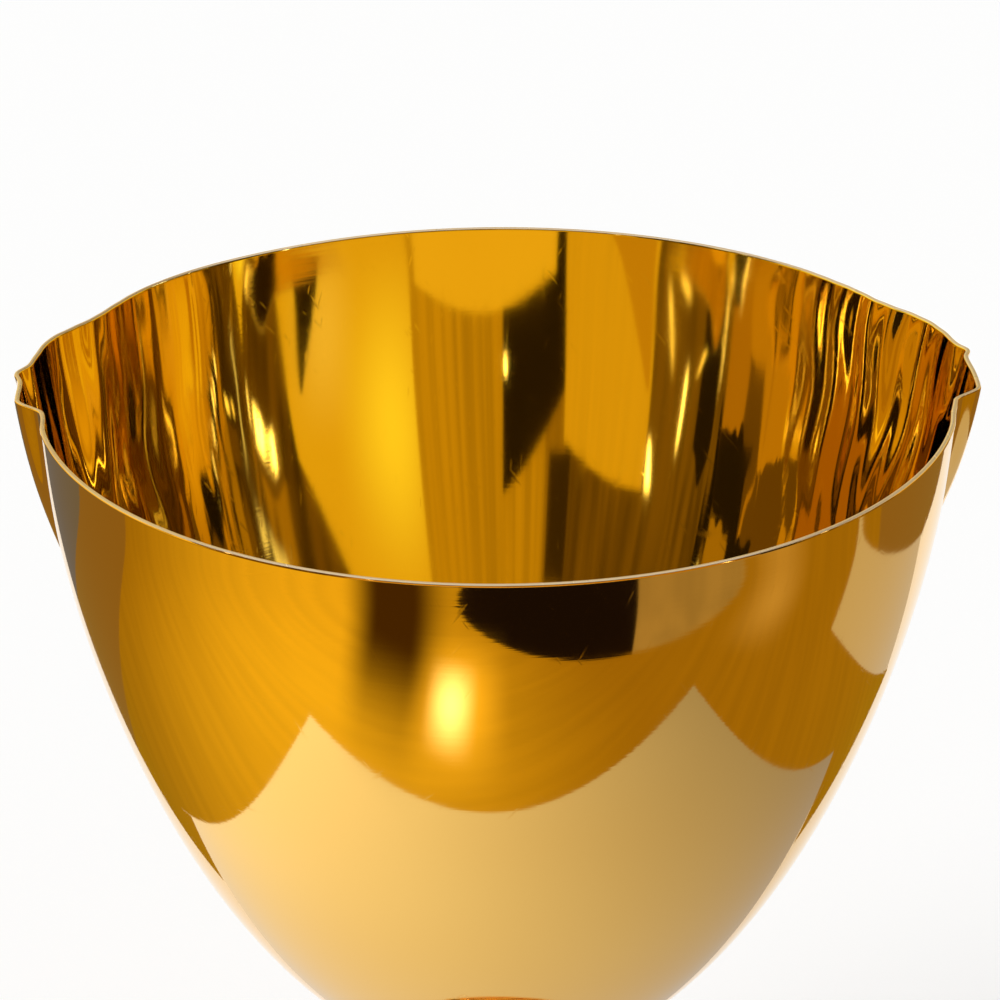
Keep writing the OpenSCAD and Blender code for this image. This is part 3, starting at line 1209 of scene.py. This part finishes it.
@dataclass(frozen=True)
class Studio:
    """The plain pale floor, the soft light, the cards round the part and the camera."""

    floor_colour: Colour = (0.86, 0.86, 0.855)
    floor_lift: float = 0.155
    floor_half: float = 6.0
    ambient: float = 0.52
    key_strength: float = 1.9
    key_angle: float = 46.0
    key_from: Triple = (-0.85, -0.35, 1.0)
    camera_distance: float = 0.464
    camera_elevation: float = 22.76
    camera_pitch: float = 24.55
    camera_side: float = 0.61 * MM
    camera_lens: float = 131.56

    def build(self) -> None:
        """Builds the studio."""
        bpy.context.scene.view_settings.view_transform = "Standard"
        self.build_world()
        self.build_floor()
        self.build_key()
        for card in (*self.floor_cards(), *self.wall_cards()):
            card.build()
        self.build_camera()

    @staticmethod
    def seen_directly(sheet: NodeSheet) -> Wire:
        """Returns 1 for rays of the camera and of clear and mirrored surfaces, and 0 for other rays."""
        path = sheet.node("ShaderNodeLightPath")
        seen = [Wire(sheet, path.outputs[f"Is {kind} Ray"]) for kind in ("Camera", "Glossy", "Transmission")]
        return seen[0].larger(seen[1]).larger(seen[2])

    def build_world(self) -> None:
        """Makes the world white where it is seen and an even soft light elsewhere."""
        world = bpy.data.worlds.new("studio_world")
        world.use_nodes = True
        bpy.context.scene.world = world
        sheet = NodeSheet(world.node_tree)
        white = (1.0, 1.0, 1.0, 1.0)
        even = sheet.shader("ShaderNodeBackground", {"Color": white, "Strength": self.ambient})
        seen = sheet.shader("ShaderNodeBackground", {"Color": white, "Strength": 1.0})
        mixed = sheet.shader("ShaderNodeMixShader", {0: self.seen_directly(sheet), 1: even, 2: seen})
        sheet.finish(mixed, "ShaderNodeOutputWorld")

    def build_floor(self) -> None:
        """Lays the pale floor, which keeps the part's shadow."""
        half = self.floor_half
        mesh = bpy.data.meshes.new("floor")
        mesh.from_pydata([(x, y, 0.0) for x, y in panel((-half, half), (-half, half))], [], [(0, 1, 2, 3)])
        mesh.materials.append(made_once("floor_pale", self.floor_shader))
        placed("floor", mesh)

    def floor_shader(self, sheet: NodeSheet) -> bpy.types.NodeSocket:
        """Adds the floor's nodes and returns its shader."""
        matt = sheet.shader("ShaderNodeBsdfDiffuse", {"Color": (*self.floor_colour, 1.0)})
        lift = sheet.shader("ShaderNodeEmission", {"Strength": self.floor_lift})
        both = sheet.shader("ShaderNodeAddShader", {0: matt, 1: lift})
        return sheet.shader("ShaderNodeMixShader", {0: self.seen_directly(sheet), 1: matt, 2: both})

    def build_key(self) -> None:
        """Hangs the broad soft key light, which lights but is not mirrored."""
        lamp = bpy.data.lights.new("soft_key", "SUN")
        lamp.energy = self.key_strength
        lamp.angle = math.radians(self.key_angle)
        key = placed("soft_key", lamp)
        key.rotation_euler = Vector(self.key_from).to_track_quat("Z", "Y").to_euler()
        key.visible_glossy = False

    def floor_cards(self) -> list[Card]:
        """Returns the pale sheet under the part, the warm boards round it and what lies beyond them."""
        wood = Grain((7.0, 110.0, 1.0), 12.0, 0.10)
        sun = Pool((-0.165, -0.165), 0.30, (0.99, 0.71, 0.042))
        board = CardFinish("board_warm", (0.375, 0.222, 0.008), grain=wood, pool=sun)
        # The pale sheet carries a painted pool of light, and its dim far side is painted shade.
        bright = Pool((-0.47, -0.145), 0.80, (1.70, 1.74, 1.75))
        sheet = CardFinish("sheet_pale", (0.25, 0.238, 0.25), pool=bright)
        shade = CardFinish("board_shade", (0.06, 0.028, 0.001), fade=0.36)
        glow = CardFinish("board_glow", (1.0, 0.98, 0.82), 2.4, fade=0.5)
        halo = CardFinish("board_halo", (1.25, 0.88, 0.08), fade=0.5)
        glare = CardFinish("board_glare", (0.80, 0.60, 0.25), fade=0.5, cover=0.45)
        # The front_dark cards are painted shade: near-black sheets for the unlit room in front of the
        # boards.
        dark = CardFinish("front_dark", (0.010, 0.006, 0.005))
        tan = CardFinish("front_tan", (0.42, 0.32, 0.15), grain=Grain((30.0, 30.0, 1.0), 0.0, 0.2))
        side = CardFinish("sheet_side", (0.58, 0.54, 0.46))
        dim = CardFinish("back_dim", (0.27, 0.165, 0.035))
        cool = CardFinish("back_cool", (0.165, 0.158, 0.155))
        near_left, near_right = (-0.1445, -0.130), (0.167, -0.139)
        far_right, far_left = (0.156, 0.093), (-0.130, 0.072)
        back_left, back_right = (-0.125, 0.155), (0.150, 0.187)
        return [
            FloorCard("sheet_pale", sheet, 1, (near_left, near_right, far_right, far_left)),
            FloorCard("board_left", board, 1, ((-1.2, -0.9), near_left, back_left, (-1.2, -0.39))),
            FloorCard("board_left_back", board, 2, (far_left, (-0.100, 0.076), back_left, (-0.128, 0.115))),
            FloorCard("board_front", board, 1, ((-1.2, -0.9), (1.2, -0.9), near_right, near_left)),
            FloorCard("board_right", board, 1, (near_right, (1.2, -0.9), (1.2, 0.09), far_right)),
            FloorCard("board_right_back", board, 2,
                      ((0.111, 0.092), (0.26, 0.085), (0.20, 0.13), back_right)),
            FloorCard("back_dim_left", dim, 1, ((-1.2, -0.39), back_left, (-0.155, 0.24), (-1.2, -0.19))),
            FloorCard("back_dim_right", dim, 1, ((0.25, 0.09), (1.2, 0.09), (1.2, 1.2), (0.225, 0.30))),
            FloorCard("back_cool", cool, 1, ((-1.2, -0.19), (-0.155, 0.24), (-0.21, 0.36), (-1.2, 1.2))),
            FloorCard("front_dark_left", dark, 3,
                      ((-0.12, -0.322), (0.03, -0.256), (0.10, -0.60), (-0.40, -0.80))),
            FloorCard("front_dark_right", dark, 3,
                      ((0.03, -0.256), (0.136, -0.213), (0.40, -0.56), (0.10, -0.60))),
            FloorCard("front_tan", tan, 2, ((0.13, -0.217), (0.36, -0.10), (1.2, -0.5), (0.40, -0.62))),
            FloorCard("board_shade", shade, 2,
                      ((-0.29, -0.50), (-0.03, -0.50), (-0.048, -0.11), (-0.115, -0.11))),
            FloorCard("board_halo", halo, 4,
                      ((-0.085, -0.285), (0.02, -0.285), (0.015, -0.13), (-0.075, -0.13))),
            FloorCard("board_glow", glow, 5,
                      ((-0.068, -0.252), (-0.012, -0.252), (-0.014, -0.155), (-0.06, -0.155))),
            FloorCard("board_glare", glare, 2, ((0.19, -0.17), (0.34, -0.13), (0.34, -0.04), (0.22, -0.06))),
            FloorCard("sheet_side", side, 3, ((0.25, 0.012), (0.325, 0.04), (0.235, 0.22), (0.152, 0.183))),
        ]

    def wall_cards(self) -> list[Card]:
        """Returns the upright cards that the inside of the cup mirrors."""
        return [*self.back_cards(), *self.front_cards(), *self.lamp_cards()]

    @staticmethod
    def back_cards() -> list[Card]:
        """Returns the walls behind the part and at its sides."""
        ribs = Grain((20.0, 20.0, 0.6), 0.0, 0.30)
        faint = Grain((50.0, 50.0, 2.0), 0.0, 0.10)
        streaks = Grain((11.0, 11.0, 1.6), 0.0, 0.75, 0.14)
        folds = Grain((11.0, 11.0, 1.6), 0.0, 0.5)
        umber = CardFinish("wall_umber", (0.20, 0.11, 0.006), grain=streaks)
        warm = CardFinish("wall_warm", (0.76, 0.495, 0.021), grain=ribs)
        lit = CardFinish("wall_lit", (0.97, 0.70, 0.055))
        glow = CardFinish("wall_glow", (1.12, 0.92, 0.33), fade=0.5)
        brush = CardFinish("wall_brush", (1.32, 1.24, 0.19), fade=0.5)
        low = CardFinish("wall_low", (1.07, 0.79, 0.085))
        clear = CardFinish("wall_clear", (0.94, 0.65, 0.047), grain=faint)
        orange = CardFinish("wall_orange", (0.70, 0.42, 0.02))
        dusk = CardFinish("flag_dusk", (0.05, 0.03, 0.004))
        amber = CardFinish("wall_amber", (0.43, 0.265, 0.011), grain=ribs)
        brown = CardFinish("wall_brown", (0.25, 0.145, 0.008), grain=folds)
        return [
            WallCard("wall_round", umber, 0, panel((-180, 180), (-8, 52))),
            WallCard("wall_lit", lit, 1, ((-140, -8), (-67, -8), (-78.5, 26.7), (-140, 26.7))),
            WallCard("wall_lit_high", lit, 1, ((-140, 26.7), (-78.5, 26.7), (-110, 50), (-140, 50))),
            WallCard("glow_left", glow, 2, panel((-108, -74), (6, 27))),
            WallCard("brush_left", brush, 3, panel((-148, -91), (10, 41))),
            WallCard("wall_left", warm, 4, panel((-200, -131), (-8, 50))),
            WallCard("wall_right_high", brown, 1, panel((63, 150), (-8, 52))),
            WallCard("wall_back_high", amber, 2, panel((149, 186), (20, 50))),
            WallCard("flag_back", BLACK_CARD, 5,
                     ((150, 8), (182.2, 8), (184.3, 30.6), (150.2, 22.8)), arch=1.0),
            WallCard("flag_back_high", dusk, 5, ((146, 27.5), (158, 27.5), (158, 37.2), (145.4, 37.2))),
            WallCard("low_back", low, 6, panel((156.7, 226.3), (-8, 15.1)), arch=2.95),
            WallCard("wall_right", clear, 6, ((107, -2), (154, -2), (150.2, 26.7), (103.3, 29.9)), arch=0.9),
            WallCard("wall_right_low", orange, 7, ((108, 8), (134, 8), (107, 21.8), (105.5, 21.8))),
            WallCard("flag_left_low", BLACK_CARD, 4, ((-91, 10), (-80, 10), (-81.4, 21.2), (-82, 21.2))),
        ]

    @staticmethod
    def front_cards() -> list[Card]:
        """Returns the walls on the camera's side, which the cup shows next to its lips."""
        soft_black = CardFinish("flag_soft", (0.012, 0.008, 0.002), fade=0.18)
        ochre = CardFinish("front_ochre", (0.63, 0.345, 0.012))
        tawny = CardFinish("front_tawny", (0.51, 0.265, 0.010))
        sunny = CardFinish("front_sunny", (0.95, 0.57, 0.022), fade=0.4)
        dun = CardFinish("front_dun", (0.165, 0.089, 0.006))
        sand = CardFinish("front_sand", (0.45, 0.265, 0.011))
        return [
            WallCard("front_ochre", ochre, 1, panel((-34, 62), (-8, 33))),
            WallCard("front_tawny", tawny, 2, panel((34.5, 62.5), (-8, 32.3))),
            WallCard("front_sunny", sunny, 2, panel((-32, 10), (10, 27))),
            WallCard("front_dun", dun, 3, ((2, 19.5), (34, 24), (34, 33), (2, 33))),
            WallCard("front_top", dun, 2, panel((-27, 2), (28, 34))),
            WallCard("flag_front", soft_black, 3, ((-32, 21.5), (-7, 25), (-7, 29.5), (-32, 30))),
            WallCard("flag_right", BLACK_CARD, 4, ((26, 30), (57.5, 32.2), (57.5, 40), (28.5, 40))),
            WallCard("flag_right_high", soft_black, 3, ((55, 34), (104, 38), (104, 54), (55, 48))),
            WallCard("flag_side", BLACK_CARD, 3, ((62.5, -8), (75, -8), (75.5, 25), (62.5, 25))),
            WallCard("flag_side_low", BLACK_CARD, 3, panel((56.5, 62.5), (8, 22))),
            WallCard("flag_left_high", dun, 3, ((-49, 35), (-40, 35), (-41, 38.5), (-49, 38.5))),
            WallCard("sand_left", sand, 2, panel((-72, -64.5), (28, 36))),
            WallCard("sand_left_high", sand, 2, panel((-41, -31), (33, 46))),
            WallCard("sand_right_high", sand, 2, panel((29, 58), (39.6, 45))),
        ]

    @staticmethod
    def lamp_cards() -> list[Card]:
        """Returns the bright strips that glint in the cup."""
        lamp = CardFinish("lamp_strip", (1.0, 0.97, 0.85), 9.0, fade=0.35)
        dim = CardFinish("lamp_dim", (1.0, 0.85, 0.45), 2.5, fade=0.4)
        yellow = CardFinish("lamp_yellow", (1.4, 1.0, 0.10), fade=0.45)
        white = CardFinish("lamp_white", (1.3, 1.3, 1.3), fade=0.2)
        return [
            WallCard("lamp_left", lamp, 5, panel((-67.6, -65.7), (21.3, 26.5))),
            WallCard("lamp_left_high", dim, 5, panel((-50, -46.5), (32.2, 34.5))),
            WallCard("lamp_left_top", white, 4, ((-64.5, 31.5), (-60.5, 31.5), (-61, 48.5), (-75, 48.5))),
            WallCard("lamp_left_low", dim, 5, ((-72, 9.5), (-70, 9.5), (-64.5, 13.8), (-67, 13.8))),
            WallCard("lamp_back", lamp, 7, panel((181, 183.2), (20.6, 22.4))),
            WallCard("lamp_front", lamp, 5, panel((-31, -28.7), (24.4, 27.4))),
            WallCard("lamp_front_right", yellow, 4, ((6, 15), (20, 14), (17, 20), (5, 21.5))),
            WallCard("lamp_right_a", dim, 5, ((70.5, 15.5), (73, 15.5), (81.5, 19.8), (79, 19.8))),
            WallCard("lamp_right_b", lamp, 5, ((84.2, 18), (85.3, 18), (86.4, 27), (85.3, 27))),
            WallCard("lamp_right_f", lamp, 5, panel((54.4, 56), (10, 23))),
            WallCard("lamp_right_c", dim, 5, ((84.5, 12.8), (93.5, 11), (94, 12.6), (85, 14.8))),
            WallCard("lamp_right_d", dim, 7, ((97.3, 12), (101, 12), (93.7, 20.8), (91, 20.8))),
            WallCard("lamp_right_e", lamp, 7, ((101.5, 25), (103.4, 25), (102, 30.5), (96.5, 30.5))),
        ]

    def build_camera(self) -> None:
        """Sets the camera where the photograph was taken from."""
        lens = bpy.data.cameras.new("camera")
        lens.lens = self.camera_lens
        camera = placed("camera", lens)
        tilt_rad = math.radians(self.camera_elevation)
        back, rise = self.camera_distance * math.cos(tilt_rad), self.camera_distance * math.sin(tilt_rad)
        camera.location = (self.camera_side, -back, span("cup")[2] + rise)
        camera.rotation_euler = (math.radians(90 - self.camera_pitch), 0.0, 0.0)
        bpy.context.scene.camera = camera


def main() -> None:
    """Builds the chalice from the foot up, and the studio round it."""
    logging.basicConfig(level=logging.INFO, format="%(message)s")
    for part in (Foot(), TieRod(), Stem(), CupSeat(), Cup(), Studio()):
        part.build()


if __name__ == "__main__":
    main()
